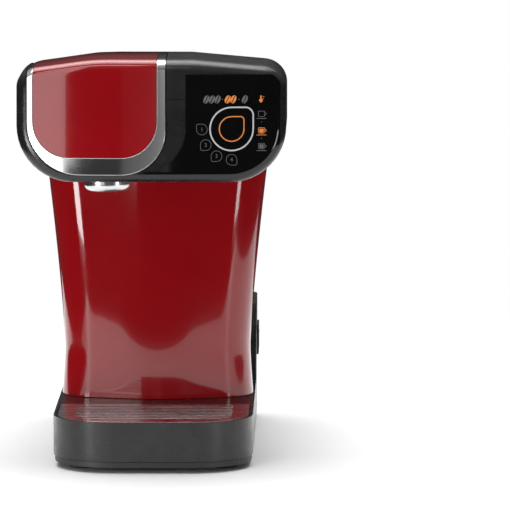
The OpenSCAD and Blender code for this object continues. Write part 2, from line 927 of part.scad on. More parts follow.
module tank_lid() {
    lid_back = tank_hinge_y - ear_r - hand_gap;
    color(black) difference() {
        union() {
            difference() {
                along_z(tank_top, tank_top + tank_lid_t) intersection() {
                    outline(tank_plan, 0);
                    translate([-far, -far]) square([2 * far, far + lid_back]);
                }
                along_z(tank_top - 1, tank_top + tank_lid_t - 2.5) intersection() {
                    outline(tank_plan, 2.5);
                    translate([-far, -far]) square([2 * far, far + lid_back - 2.5]);
                }
            }
            rod_x(-ear_x + 0.3, ear_x - 0.3, tank_hinge_y, tank_hinge_z, ear_r);
            block(-ear_x + 0.3, ear_x - 0.3, lid_back - 2, tank_hinge_y, tank_hinge_z - 1, tank_hinge_z + ear_r);
        }
        rod_x(-ear_x, ear_x, tank_hinge_y, tank_hinge_z, tank_pin_r + pin_gap);
    }
}

module tank_lid_pins() {
    color(steel) for (x = [-ear_x - ear_w, ear_x - 10])
        rod_x(x, x + 10 + ear_w, tank_hinge_y, tank_hinge_z, tank_pin_r);
}

// Lifted off its seat by the dock's pin while the tank is in place
module tank_valve() {
    color(grey) {
        rod_z(neck_z - 2.5, neck_z + 5.2, 0, tank_y, stem_r);
        rod_z(neck_z + 5.2, neck_z + 7.7, 0, tank_y, neck_bore - 1);
    }
}

module tank_float() {
    color("#c8ccd0") difference() {
        rod_z(tank_z + tank_wall + 0.3, tank_z + tank_wall + 0.3 + float_h, float_x, float_y, float_r);
        rod_z(tank_z, tank_z + far, float_x, float_y, rod_r + 0.3);
    }
}

module filter_funnel() {
    color("#e6e8ea") difference() {
        union() {
            along_z(funnel_z, funnel_z + 2) outline(tank_plan, tank_wall + 0.3);
            rod_z(funnel_z - 44, funnel_z, cartridge_x, tank_y, cartridge_r + 2.2);
        }
        rod_z(funnel_z - 45, funnel_z + 3, cartridge_x, tank_y, cartridge_r);
        block(30, 50, tank_y - 4, tank_y + 22, funnel_z - 1, funnel_z + 3);
    }
}

module filter_cartridge() {
    z1 = funnel_z - 8;
    color("#f2f3f4") {
        rod_z(z1 - 62, z1, cartridge_x, tank_y, cartridge_r);
        rod_z(z1, z1 + 6, cartridge_x, tank_y, 6);
    }
}

module tank_dock() {
    color(grey) difference() {
        union() {
            rod_z(pedestal_top, tank_z - 0.3, 0, tank_y, 24);
            rod_z(dock_z, pedestal_top, 0, tank_y, dock_r + 2);
            rod_z(dock_z - 10, dock_z, 0, tank_y, barb_r);
        }
        difference() {
            rod_z(dock_z + 2, tank_z + 1, 0, tank_y, dock_r);
            rod_z(dock_z + 1, neck_z - 2.6, 0, tank_y, 2);
        }
        for (a = [-1, 1]) rod_z(dock_z - 1, dock_z + 3, 5 * a, tank_y, 1.5);
        rod_z(dock_z - 11, dock_z - 1, 0, tank_y, 2.5);
        block(-6.5, 6.5, tank_y - 1.5, tank_y + 1.5, dock_z - 1, dock_z + 1);
    }
}

module dock_seal() {
    color(rubber) difference() {
        rod_z(neck_z + 2, neck_z + 5, 0, tank_y, dock_r);
        rod_z(neck_z + 1, neck_z + 6, 0, tank_y, neck_r + 0.1);
    }
}

// ---- Water path -----------------------------------------------------------------------------------

module flow_meter_body() {
    color(grey) difference() {
        union() {
            rod_z(meter_z, meter_z + 15, 0, tank_y, meter_r);
            rod_z(floor_z, meter_z, 0, tank_y, 5);
            rod_y(tank_y + meter_r - 3, tank_y + meter_r + 6, 0, meter_z + 8, hose_r);
        }
        difference() {
            rod_z(meter_z + 3, meter_z + 16, 0, tank_y, meter_r - 2);
            rod_z(meter_z + 2, meter_z + 14.5, 0, tank_y, meter_pin_r);
        }
        rod_y(tank_y + meter_r - 4, tank_y + meter_r + 7, 0, meter_z + 8, 1.5);
    }
}

module flow_meter_cover() {
    color("#3a3d40") difference() {
        union() {
            rod_z(meter_z + 15, meter_z + 18, 0, tank_y, meter_r);
            rod_z(meter_z + 18, dock_z - 10, 0, tank_y, barb_r);
        }
        rod_z(meter_z + 14, dock_z - 9, 0, tank_y, 2.5);
    }
}

module flow_impeller() {
    z0 = meter_z + 4;
    color("#d9dcdf") translate([0, tank_y, z0]) difference() {
        union() {
            cylinder(r = 3, h = 8);
            for (a = [0 : 60 : 300]) rotate([0, 0, a]) translate([0, -0.6, 0.5]) cube([11.5, 1.2, 7]);
        }
        translate([0, 0, -1]) cylinder(r = meter_pin_r + pin_gap, h = 10);
    }
}

module dock_hose() {
    color(silicone) difference() {
        rod_z(meter_z + 18, dock_z, 0, tank_y, barb_r + 2);
        rod_z(meter_z + 17, dock_z + 1, 0, tank_y, barb_r);
    }
}

module suction_hose() {
    port_y = tank_y + meter_r + 6;
    turn_y = pump_y1 + 6;
    color(silicone) hose([
        [0, port_y, meter_z + 8],
        [0, port_y + 5, meter_z + 8],
        [pump_x + 18, port_y + 5, pump_z],
        [pump_x + 8, turn_y, pump_z],
        [pump_x, turn_y, pump_z],
        [pump_x, pump_y1, pump_z]
    ], hose_r, 4);
}

module pump_body() {
    color("#d8d9d6") difference() {
        union() {
            rod_y(pump_y0, pump_y1, pump_x, pump_z, pump_r);
            rod_y(pump_y0 - 1, pump_y0, pump_x, pump_z, hose_r);
        }
        rod_y(coil_y0 - 4, pump_y1 - 6, pump_x, pump_z, plunger_r + pin_gap);
        rod_y(pump_y0 - 4, coil_y0, pump_x, pump_z, 1.5);
        rod_y(pump_y1 - 7, pump_y1 + 1, pump_x, pump_z, 1.5);
    }
}

module pump_coil() {
    color(copper) difference() {
        block(pump_x - coil_half, pump_x + coil_half, coil_y0, coil_y1, pump_z - coil_half, pump_z + coil_half);
        rod_y(coil_y0 - 1, coil_y1 + 1, pump_x, pump_z, pump_r);
    }
}

plunger_y1 = pump_y1 - 8;
plunger_l = 22;

module pump_plunger() {
    color(steel) difference() {
        rod_y(plunger_y1 - plunger_l, plunger_y1 - 2.5, pump_x, pump_z, plunger_r);
        rod_y(plunger_y1 - plunger_l - 1, plunger_y1, pump_x, pump_z, 1.2);
    }
}

// Coil spring that pushes the plunger back
module pump_spring() {
    turns = 5;
    steps = 12;
    wire_r = 0.7;
    coil_r = plunger_r - 0.4 - wire_r;
    y0 = coil_y0 - 4 + wire_r;
    y1 = plunger_y1 - plunger_l - 2.5;
    color(steel) swept([for (i = [0 : turns * steps])
        [
            pump_x + coil_r * cos(360 * i / steps),
            y0 + (y1 - y0) * i / (turns * steps),
            pump_z + coil_r * sin(360 * i / steps)
        ]], wire_r, 6);
}

module pump_mounts() {
    color(rubber) for (y = [pump_y0 + 4, coil_y1 + 1]) difference() {
        block(pump_x - 13, pump_x + 13, y, y + 6, floor_z, pump_z);
        rod_y(y - 1, y + 7, pump_x, pump_z, pump_r);
    }
}

module pressure_hose() {
    low_z = base_h - 15;
    color(silicone) hose([
        [pump_x, pump_y0 - 1, pump_z],
        [pump_x, pump_y0 - 7, pump_z],
        [pump_x, pump_y0 - 7, low_z],
        [heater_x, heater_y, low_z],
        [heater_x, heater_y, heater_z0]
    ], hose_r, 5);
}

module heater_block() {
    color(grey) difference() {
        block(heater_x - 18, heater_x + 18, heater_y - 15, heater_y + 15, heater_z0, heater_z1);
        for (s = [-1, 1])
            rod_z(heater_z0 - 1, heater_z1 + 1, heater_x + s * element_offset, heater_y, element_r + pin_gap);
        rod_z(heater_z0 - 1, heater_z1 + 1, heater_x, heater_y, 2);
    }
}

module heater_elements() {
    color(steel) for (s = [-1, 1])
        rod_z(heater_z0 - 8, heater_z1 + 8, heater_x + s * element_offset, heater_y, element_r);
}

module heater_thermostat() {
    color(black) rod_x(heater_x - 24, heater_x - 18, heater_y, heater_z1 - 20, 8);
}

module thermal_fuse() {
    color("#c9b98a") rod_z(heater_z1 - 60, heater_z1 - 44, heater_x - 20, heater_y, 2);
}

module brew_hose() {
    bend_z = head_z + 14;
    color(silicone) hose([
        [heater_x, heater_y, heater_z1],
        [heater_x, heater_y, bend_z],
        [pod_x + 10, hinge_y + 22, inlet_z],
        [pod_x, hinge_y + 12, inlet_z],
        [pod_x, pod_y + unit_r + 8, inlet_z]
    ], hose_r);
}

module control_board() {
    board = column_back - wall - 8;
    z1 = head_z - 40;
    color(board_green) {
        block(-52, -2, board, board + 1.6, base_h + 28, z1);
        for (x = [-46, -8], z = [base_h + 34, z1 - 6])
            rod_y(board + 1.6, column_back - wall, x, z, 3);
        block(-46, -28, board - 15, board, base_h + 40, base_h + 62);
        block(-22, -8, board - 12, board, base_h + 44, base_h + 58);
        rod_y(board - 18, board, -36, z1 - 22, 6);
        block(-20, -8, board - 9, board, z1 - 30, z1 - 14);
    }
}

// ---- Assembly -------------------------------------------------------------------------------------

base_plate();
rubber_feet();
base_screws();
base_housing();
column_front_shell();
column_chassis();
head_lower_housing();
head_top_cover();
control_panel_plate();
touch_board();
icon_light_guides();
pod_cradle();
pod_reader_window();
pod_reader_board();
piercing_unit();
inlet_seal();
drink_spout();
lid_hinge_pin();
lid_switch();
lid_skin();
lid_trim();
lid_frame();
pod_clamp();
clamp_pad();
lid_screws();
heater_block();
heater_elements();
heater_thermostat();
thermal_fuse();
control_board();
pump_body();
pump_coil();
pump_plunger();
pump_spring();
pump_mounts();
flow_meter_body();
flow_meter_cover();
flow_impeller();
dock_hose();
suction_hose();
pressure_hose();
brew_hose();
tank_dock();
dock_seal();
tank_shell();
tank_outlet();
tank_lid();
tank_lid_pins();
tank_valve();
tank_float();
filter_funnel();
filter_cartridge();
drip_tray();
drip_grate();
cord_gland();
switch_bezel();
power_rocker();
cleaning_disc();
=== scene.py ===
# Pod coffee machine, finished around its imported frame: a bowed black head with a red brewing lid in a
# chrome trim, a glass-black touch panel, a red column, a drip tray in front and a water tank behind.
# Shapes are worked out in millimetres and become metres when a piece is finished.
from math import acos, atan2, cos, pi, radians, sin, sqrt, tan

import bmesh
import bpy
from mathutils import Matrix, Vector


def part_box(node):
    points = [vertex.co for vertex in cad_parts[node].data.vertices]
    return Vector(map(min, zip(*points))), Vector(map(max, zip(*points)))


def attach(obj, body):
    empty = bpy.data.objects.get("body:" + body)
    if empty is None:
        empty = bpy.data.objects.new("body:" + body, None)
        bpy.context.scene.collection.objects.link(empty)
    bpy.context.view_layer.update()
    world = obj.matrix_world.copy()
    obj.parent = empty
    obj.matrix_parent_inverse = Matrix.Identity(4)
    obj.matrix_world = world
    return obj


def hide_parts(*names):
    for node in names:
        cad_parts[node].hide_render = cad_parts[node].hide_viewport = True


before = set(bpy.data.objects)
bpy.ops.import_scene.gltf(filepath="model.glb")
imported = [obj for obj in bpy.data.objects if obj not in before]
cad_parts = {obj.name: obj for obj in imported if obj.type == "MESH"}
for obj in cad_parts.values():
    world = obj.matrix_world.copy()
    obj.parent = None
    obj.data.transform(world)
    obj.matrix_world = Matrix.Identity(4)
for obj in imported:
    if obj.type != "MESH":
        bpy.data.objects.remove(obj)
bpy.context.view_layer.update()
MM = 0.001


def node_box(*names):
    """Lowest and highest corner of some CAD nodes together, in millimetres."""
    boxes = [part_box(name) for name in names]
    low = Vector([min(b[0][i] for b in boxes) for i in range(3)]) / MM
    high = Vector([max(b[1][i] for b in boxes) for i in range(3)]) / MM
    return low, high


# ---- Sizes from the frame ---------------------------------------------------------------------------

head_low, head_high = node_box("head_lower_housing", "head_top_cover")
lid_low, lid_high = node_box("lid_trim", "lid_skin")
skin_low, skin_high = node_box("lid_skin")
panel_low, panel_high = node_box("control_panel_plate")
shell_low, shell_high = node_box("column_front_shell")
chassis_high = node_box("column_chassis")[1]
spout_low, spout_high = node_box("drink_spout")
part_z = node_box("head_top_cover")[0].z

HEAD_HALF = (head_high.x - head_low.x) / 2
HEAD_Z = head_low.z
HEAD_TOP = head_high.z
FRONT_Y = head_low.y
HEAD_BACK = head_high.y
WALL = 2.5

# How the head's faces bow, lean and fall
FRONT_BOW = 7.0
FRONT_LEAN = 5.0
BACK_FALL = 12.0
FRONT_FALL = 1.0
CROWN_Y = FRONT_Y + 61
SIDE_TAPER = 21.0
TAPER_Y = FRONT_Y + 110
LEFT_DROP = 8.0
RIGHT_DROP = 6.0
CREST_LEFT = -40.0
CREST_RIGHT = 30.0
LOW_CORNER = 39.0
TOP_CORNER_LEFT = 14.0
TOP_CORNER_RIGHT = 17.0
RIM_ROUND = 8.0
REAR_ROUND = 15.0
CREASE_ROUND = 6.0

# Lid
LID_CORNER_LEFT = 36.0
LID_CORNER_RIGHT = 31.0
SKIN_CORNER = 25.0
LID_WALL = 3.0
HAND_GAP = 0.5

# Panel
BAND_W = 13.9
BAND_RISE = 1.4
PANEL_T = 2.2

# Column
WAIST_Z = 70.0
WAIST_HALF = 67.0
COLUMN_HALF = 79.5
COLUMN_BACK_HALF = 71.5
COLUMN_POWER = 1.3

FINE = 12


# ---- Outlines ---------------------------------------------------------------------------------------

def corner_arc(before, corner, after, radius, steps):
    """One corner of an outline, rounded."""
    if radius <= 0:
        return [corner]
    u, v = (before - corner).normalized(), (after - corner).normalized()
    half = acos(max(-1.0, min(1.0, u.dot(v)))) / 2
    centre = corner + (u + v).normalized() * radius / sin(half)
    start = corner + u * radius / tan(half) - centre
    end = corner + v * radius / tan(half) - centre
    first = atan2(start.y, start.x)
    sweep = (atan2(end.y, end.x) - first + pi) % (2 * pi) - pi
    turns = [first + sweep * i / steps for i in range(steps + 1)]
    return [centre + radius * Vector((cos(a), sin(a))) for a in turns]


def rounded(corners, steps=FINE):
    """A closed outline from (across, up, radius) corners, counter-clockwise."""
    flat = [Vector(c[:2]) for c in corners]
    count = len(flat)
    points = []
    for i, corner in enumerate(corners):
        points += corner_arc(flat[i - 1], flat[i], flat[(i + 1) % count], corner[2], steps)
    return points


def inset(corners, distance):
    """The same corners moved inwards, or outwards when the distance is negative."""
    flat = [Vector(c[:2]) for c in corners]
    count = len(flat)
    moved = []
    for i, corner in enumerate(corners):
        into = (flat[i] - flat[i - 1]).normalized()
        out = (flat[(i + 1) % count] - flat[i]).normalized()
        n1, n2 = Vector((-into.y, into.x)), Vector((-out.y, out.x))
        place = flat[i] + distance * (n1 + n2) / (1 + n1.dot(n2))
        radius = 0 if corner[2] <= 0 else max(corner[2] - distance, 0.5)
        moved.append((place.x, place.y, radius))
    return moved


def eased(t, reach):
    """0 before -reach, t after reach, and a parabola between them."""
    if t <= -reach:
        return 0.0
    return t if t >= reach else (t + reach) ** 2 / (4 * reach)


def arc_drop(inside, radius):
    """How far a rounded edge has fallen at a distance inside its outline."""
    if inside >= radius:
        return 0.0
    return radius - sqrt(max(0.0, radius ** 2 - (radius - max(inside, 0.0)) ** 2))


# ---- Mesh making ------------------------------------------------------------------------------------

def sheet(place, columns, rows, outwards):
    """A grid whose vertices are placed by place(u, v), with its faces turned outwards."""
    mesh = bmesh.new()
    bmesh.ops.create_grid(mesh, x_segments=columns, y_segments=rows, size=0.5)
    for vert in mesh.verts:
        vert.co = place(vert.co.x + 0.5, vert.co.y + 0.5)
    mesh.normal_update()
    total = sum((f.normal * f.calc_area() for f in mesh.faces), Vector())
    if total.dot(Vector(outwards)) < 0:
        bmesh.ops.reverse_faces(mesh, faces=mesh.faces)
    return mesh


def copy_of(vert, fresh):
    return next(e.other_vert(vert) for e in vert.link_edges if e.other_vert(vert) in fresh)


def loft(rings):
    """A closed form through rings of points, its two ends filled."""
    mesh = bmesh.new()
    verts = [mesh.verts.new(p) for p in rings[0]]
    edges = [mesh.edges.new((v, verts[(i + 1) % len(verts)])) for i, v in enumerate(verts)]
    bmesh.ops.contextual_create(mesh, geom=edges)
    for ring in rings[1:]:
        made = bmesh.ops.extrude_edge_only(mesh, edges=edges)["geom"]
        fresh = {g for g in made if isinstance(g, bmesh.types.BMVert)}
        verts = [copy_of(v, fresh) for v in verts]
        for vert, point in zip(verts, ring):
            vert.co = point
        edges = [mesh.edges.get((v, verts[(i + 1) % len(verts)])) for i, v in enumerate(verts)]
    bmesh.ops.contextual_create(mesh, geom=edges)
    caps = [f for f in mesh.faces if len(f.verts) > 4]
    bmesh.ops.triangulate(mesh, faces=caps, ngon_method="BEAUTY")
    bmesh.ops.recalc_face_normals(mesh, faces=mesh.faces)
    return mesh


def along_y(points, y0, y1):
    """A prism of an (x, z) outline between two places along Y."""
    return loft([[Vector((p.x, y, p.y)) for p in points] for y in (y0, y1)])


def rod(start, end, radius, segments=48):
    """A round rod between two points."""
    mesh = bmesh.new()
    start, end = Vector(start), Vector(end)
    turn = Vector((0, 0, 1)).rotation_difference(end - start).to_matrix().to_4x4()
    place = Matrix.Translation((start + end) / 2) @ turn
    bmesh.ops.create_cone(mesh, cap_ends=True, segments=segments, radius1=radius, radius2=radius,
                          depth=(end - start).length, matrix=place)
    return mesh


def block(low, high):
    mesh = bmesh.new()
    low, high = Vector(low), Vector(high)
    place = Matrix.Translation((low + high) / 2) @ Matrix.Diagonal((*(high - low), 1))
    bmesh.ops.create_cube(mesh, size=1, matrix=place)
    return mesh


def turned(profile, centre, segments=72):
    """A form of revolution about a vertical axis from (radius, height) points."""
    mesh = bmesh.new()
    verts = [mesh.verts.new((centre.x + r, centre.y, z)) for r, z in profile]
    edges = [mesh.edges.new(pair) for pair in zip(verts, verts[1:] + verts[:1])]
    bmesh.ops.spin(mesh, geom=verts + edges, cent=centre, axis=(0, 0, 1), angle=2 * pi,
                   steps=segments, use_merge=True, use_duplicate=False)
    bmesh.ops.remove_doubles(mesh, verts=mesh.verts, dist=0.001)
    bmesh.ops.recalc_face_normals(mesh, faces=mesh.faces)
    return mesh


def added(name, data):
    """A new object in the scene."""
    made = bpy.data.objects.new(name, data)
    bpy.context.scene.collection.objects.link(made)
    return made


def from_bmesh(mesh, name):
    data = bpy.data.meshes.new(name)
    mesh.to_mesh(data)
    mesh.free()
    data.shade_smooth()
    return added(name, data)


def as_object(mesh, name):
    """A finished mesh in metres, its object at the origin."""
    bmesh.ops.scale(mesh, vec=(MM, MM, MM), verts=mesh.verts)
    return from_bmesh(mesh, name)


def settle(made):
    """Makes an object's modifiers part of its mesh."""
    graph = bpy.context.evaluated_depsgraph_get()
    data = bpy.data.meshes.new_from_object(made.evaluated_get(graph))
    made.modifiers.clear()
    made.data = data


def cut(made, cutter, operation="DIFFERENCE"):
    """Uses up a cutter object on another object."""
    step = made.modifiers.new("carve", "BOOLEAN")
    step.operation = operation
    step.solver = "EXACT"
    step.object = cutter
    settle(made)
    bpy.data.objects.remove(cutter)


def carve(made, tools, operation="DIFFERENCE"):
    """Cuts the tools' shapes out of an object, or keeps what is inside them."""
    for tool in tools:
        cut(made, as_object(tool, "cutter"), operation)


def thicken(made, wall):
    step = made.modifiers.new("wall", "SOLIDIFY")
    step.thickness = wall * MM
    step.offset = -1
    step.use_even_offset = True


def soften(made, width, segments=3, angle=40):
    """Small rounds along an object's hard edges."""
    step = made.modifiers.new("edges", "BEVEL")
    step.width = width * MM
    step.segments = segments
    step.limit_method = "ANGLE"
    step.angle_limit = radians(angle)
    step.use_clamp_overlap = True
    step.harden_normals = True
    made.data.set_sharp_from_angle(angle=radians(angle))


def finish(made, body, slot, material, stands_for=()):
    """Gives a piece its finish, its body and the CAD nodes that it stands for."""
    made.data.materials.clear()
    made.data.materials.append(material)
    if stands_for:
        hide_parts(*stands_for)
    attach(made, body)
    return made


def refined(node, body, slot, material, width, angle=35, segments=2):
    """A CAD node's own shape with its flat areas joined and its edges rounded."""
    mesh = bmesh.new()
    mesh.from_mesh(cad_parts[node].data)
    bmesh.ops.remove_doubles(mesh, verts=mesh.verts, dist=2e-6)
    bmesh.ops.dissolve_limit(mesh, angle_limit=radians(0.6), verts=mesh.verts, edges=mesh.edges)
    made = from_bmesh(mesh, node + "_finished")
    soften(made, width, segments, angle)
    return finish(made, body, slot, material, [node])


# ---- Materials --------------------------------------------------------------------------------------

class Finish:
    """A shader with patterns on Object coordinates added to it."""

    def __init__(self, name, colour, roughness, metallic=0.0, **sockets):
        self.material = bpy.data.materials.new(name)
        self.material.use_nodes = True
        self.nodes = self.material.node_tree.nodes
        self.links = self.material.node_tree.links
        self.shader = self.nodes["Principled BSDF"]
        self.shader.inputs["Base Color"].default_value = (*colour, 1)
        self.shader.inputs["Roughness"].default_value = roughness
        self.shader.inputs["Metallic"].default_value = metallic
        for socket, value in sockets.items():
            self.shader.inputs[socket.replace("_", " ")].default_value = value

    def noise(self, scale, detail=3.0, stretch=(1, 1, 1)):
        """Noise with so many grains to the metre, stretched along an axis if asked."""
        place = self.nodes.new("ShaderNodeTexCoord")
        spread = self.nodes.new("ShaderNodeMapping")
        spread.inputs["Scale"].default_value = stretch
        texture = self.nodes.new("ShaderNodeTexNoise")
        texture.inputs["Scale"].default_value = scale
        texture.inputs["Detail"].default_value = detail
        self.links.new(place.outputs["Object"], spread.inputs["Vector"])
        self.links.new(spread.outputs["Vector"], texture.inputs["Vector"])
        return texture.outputs["Fac"]

    def ranged(self, value, low, high, start=0.3, end=0.7):
        spread = self.nodes.new("ShaderNodeMapRange")
        for socket, number in zip(("From Min", "From Max", "To Min", "To Max"), (start, end, low, high)):
            spread.inputs[socket].default_value = number
        self.links.new(value, spread.inputs["Value"])
        return spread.outputs["Result"]

    def uneven(self, scale, low, high, **pattern):
        """Roughness that varies over the surface, as handling and moulding leave it."""
        self.links.new(self.ranged(self.noise(scale, **pattern), low, high), self.shader.inputs["Roughness"])
        return self

    def shaded(self, scale, first, second, **pattern):
        """Colour that varies a little between two tones."""
        ramp = self.nodes.new("ShaderNodeValToRGB")
        ramp.color_ramp.elements[0].position = 0.35
        ramp.color_ramp.elements[1].position = 0.65
        ramp.color_ramp.elements[0].color = (*first, 1)
        ramp.color_ramp.elements[1].color = (*second, 1)
        self.links.new(self.noise(scale, **pattern), ramp.inputs["Fac"])
        self.links.new(ramp.outputs["Color"], self.shader.inputs["Base Color"])
        return self

    def grained(self, scale, depth, **pattern):
        """A fine relief, depth in millimetres."""
        bump = self.nodes.new("ShaderNodeBump")
        bump.inputs["Strength"].default_value = 1.0
        bump.inputs["Distance"].default_value = depth * MM
        self.links.new(self.noise(scale, **pattern), bump.inputs["Height"])
        self.links.new(bump.outputs["Normal"], self.shader.inputs["Normal"])
        return self


def plastic(name, colour, second, roughness, grain, depth=0.012, **sockets):
    """Moulded plastic: two near tones, a fine erosion grain and uneven gloss."""
    made = Finish(name, colour, roughness, **sockets)
    made.shaded(60, colour, second)
    made.uneven(90, roughness - 0.05, roughness + 0.07)
    made.grained(grain, depth, detail=2.0)
    return made.material


def brushed(name, colour, roughness, stretch):
    """Brushed metal, its scratches along the axis with the smallest stretch."""
    made = Finish(name, colour, roughness, 1.0)
    made.uneven(900, roughness - 0.06, roughness + 0.1, detail=4.0, stretch=stretch)
    made.grained(1500, 0.004, detail=3.0, stretch=stretch)
    return made.material


def polished(name, colour, roughness):
    """Bright metal with faint smears."""
    made = Finish(name, colour, roughness, 1.0)
    made.uneven(35, roughness, roughness + 0.035, detail=5.0)
    return made.material


def lacquer(name, colour, second, roughness, **sockets):
    """Deep gloss over a pigmented body, with a slight ripple."""
    made = Finish(name, colour, roughness, **sockets)
    made.shaded(25, colour, second)
    made.uneven(45, roughness, roughness + 0.03, detail=4.0)
    made.grained(28, 0.006, detail=1.0)
    return made.material


def lit(name, colour, strength):
    """A symbol lit from behind, a little brighter in places."""
    made = Finish(name, colour, 0.4)
    made.shader.inputs["Emission Strength"].default_value = strength
    ramp = made.nodes.new("ShaderNodeValToRGB")
    ramp.color_ramp.elements[0].color = (*[0.82 * c for c in colour], 1)
    ramp.color_ramp.elements[1].color = (*colour, 1)
    made.links.new(made.noise(400), ramp.inputs["Fac"])
    made.links.new(ramp.outputs["Color"], made.shader.inputs["Emission Color"])
    return made.material


red_casing = lacquer("red_casing", (0.29, 0.003, 0.006), (0.27, 0.0025, 0.0055), 0.07, Coat_Weight=0.6,
                     Coat_Roughness=0.02, Specular_IOR_Level=0.4)
black_casing = plastic("black_casing", (0.010, 0.010, 0.0105), (0.012, 0.012, 0.0125), 0.24, 2600, 0.004)
black_moulding = plastic("black_moulding", (0.014, 0.014, 0.015), (0.018, 0.018, 0.019), 0.42, 2400)
panel_black = lacquer("panel_black", (0.0025, 0.0025, 0.003), (0.003, 0.003, 0.0035), 0.045)
chrome_trim = polished("chrome_trim", (0.86, 0.86, 0.87), 0.06)
steel = brushed("steel", (0.62, 0.62, 0.63), 0.22, (0.04, 1, 1))
satin_silver = polished("satin_silver", (0.70, 0.70, 0.70), 0.2)
grey_plastic = plastic("grey_plastic", (0.20, 0.21, 0.22), (0.23, 0.24, 0.25), 0.4, 2300)
white_plastic = plastic("white_plastic", (0.78, 0.79, 0.79), (0.82, 0.82, 0.81), 0.38, 2500)
rubber = plastic("rubber", (0.020, 0.020, 0.021), (0.026, 0.026, 0.026), 0.7, 3200, 0.03)
silicone = plastic("silicone", (0.50, 0.48, 0.42), (0.55, 0.53, 0.47), 0.5, 1200, 0.01,
                   Subsurface_Weight=0.15)
amber_plastic = plastic("amber_plastic", (0.62, 0.27, 0.045), (0.68, 0.31, 0.06), 0.34, 2200)
circuit_board = plastic("circuit_board", (0.012, 0.10, 0.035), (0.018, 0.14, 0.05), 0.38, 900, 0.03)
aluminium = brushed("aluminium", (0.66, 0.67, 0.69), 0.34, (1, 1, 0.3))
copper = polished("copper", (0.72, 0.36, 0.22), 0.22)
reader_window = lacquer("reader_window", (0.16, 0.004, 0.006), (0.2, 0.006, 0.008), 0.05)
tank_clear = Finish("tank_clear", (0.80, 0.83, 0.85), 0.03, Transmission_Weight=0.94, IOR=1.49)
tank_clear = tank_clear.uneven(30, 0.02, 0.08, detail=4.0).grained(18, 0.02, detail=1.0).material
glow_white = lit("glow_white", (0.42, 0.43, 0.43), 0.3)
glow_amber = lit("glow_amber", (0.66, 0.21, 0.05), 0.25)
glow_dim = lit("glow_dim", (0.10, 0.10, 0.10), 0.3)


# ---- Head surface -----------------------------------------------------------------------------------

HEAD_FACE = [
    (-HEAD_HALF, HEAD_Z, LOW_CORNER),
    (HEAD_HALF, HEAD_Z, LOW_CORNER),
    (HEAD_HALF, HEAD_TOP - RIGHT_DROP, TOP_CORNER_RIGHT),
    (CREST_RIGHT, HEAD_TOP, 60),
    (CREST_LEFT, HEAD_TOP, 60),
    (-HEAD_HALF, HEAD_TOP - LEFT_DROP, TOP_CORNER_LEFT),
]


def front_at(x, z):
    """Where the front of the head is, before its rim is rounded: it bows sideways and leans back."""
    bow = FRONT_BOW * (x / HEAD_HALF) ** 2
    return FRONT_Y + bow + max(0.0, FRONT_LEAN * (z - HEAD_Z) / (HEAD_TOP - HEAD_Z))


def half_width(y):
    return HEAD_HALF - SIDE_TAPER / (HEAD_BACK - TAPER_Y) * eased(y - TAPER_Y, 14)


def crown_at(y):
    """Height of the head's crest along its depth."""
    behind = BACK_FALL / (HEAD_BACK - CROWN_Y) * eased(y - CROWN_Y, 24)
    before = FRONT_FALL / (CROWN_Y - FRONT_Y) * eased(CROWN_Y - y, 24)
    return HEAD_TOP - behind - before


def top_at(x, y):
    """Height of the top of the head."""
    left = LEFT_DROP / (CREST_LEFT + HEAD_HALF) * eased(CREST_LEFT - x, 12)
    right = RIGHT_DROP / (HEAD_HALF - CREST_RIGHT) * eased(x - CREST_RIGHT, 12)
    corner = arc_drop(x + HEAD_HALF, TOP_CORNER_LEFT)
    z = HEAD_TOP - left - right - corner
    return HEAD_Z + (z - HEAD_Z) * (crown_at(y) - HEAD_Z) / (HEAD_TOP - HEAD_Z)


def edge_gap(x, z):
    """Distance inside the head's outline, at its sides and its two lower corners."""
    aside = HEAD_HALF - abs(x)
    above = z - HEAD_Z
    if aside < LOW_CORNER and above < LOW_CORNER:
        return LOW_CORNER - sqrt((LOW_CORNER - aside) ** 2 + (LOW_CORNER - above) ** 2)
    return min(aside, above)


def face_point(x, z, proud=0.0):
    """A point on the front of the head."""
    return Vector((x, front_at(x, z) + arc_drop(edge_gap(x, z), RIM_ROUND) - proud, z))


def crease_at(x):
    """Height of the corner where the front of the head meets its top."""
    return top_at(x, front_at(x, HEAD_TOP))


def on_head(x, q):
    """A point on the head's skin: q is the way along it from the crease, down the front when negative."""
    z = crease_at(x)
    corner = Vector((front_at(x, z), z))
    low = Vector((front_at(x, HEAD_Z), HEAD_Z))
    back_y = corner.x + 60
    down = (low - corner).normalized()
    back = (Vector((back_y, top_at(x, back_y))) - corner).normalized()
    half = acos(down.dot(back)) / 2
    reach = CREASE_ROUND / tan(half)
    if q <= -reach:
        place = corner - down * q
        return face_point(x, place.y)
    if q >= reach:
        y = corner.x + q
        return Vector((x, y, top_at(x, y)))
    arc = corner_arc(corner + down, corner, corner + back, CREASE_ROUND, 2)
    centre = corner + (down + back).normalized() * CREASE_ROUND / sin(half)
    first = atan2(arc[0].y - centre.y, arc[0].x - centre.x)
    sweep = (atan2(arc[2].y - centre.y, arc[2].x - centre.x) - first + pi) % (2 * pi) - pi
    turn = first + sweep * (q + reach) / (2 * reach)
    place = centre + CREASE_ROUND * Vector((cos(turn), sin(turn)))
    y_gap = arc_drop(edge_gap(x, z), RIM_ROUND)
    return Vector((x, place.x + y_gap * max(0.0, -q / reach), place.y))


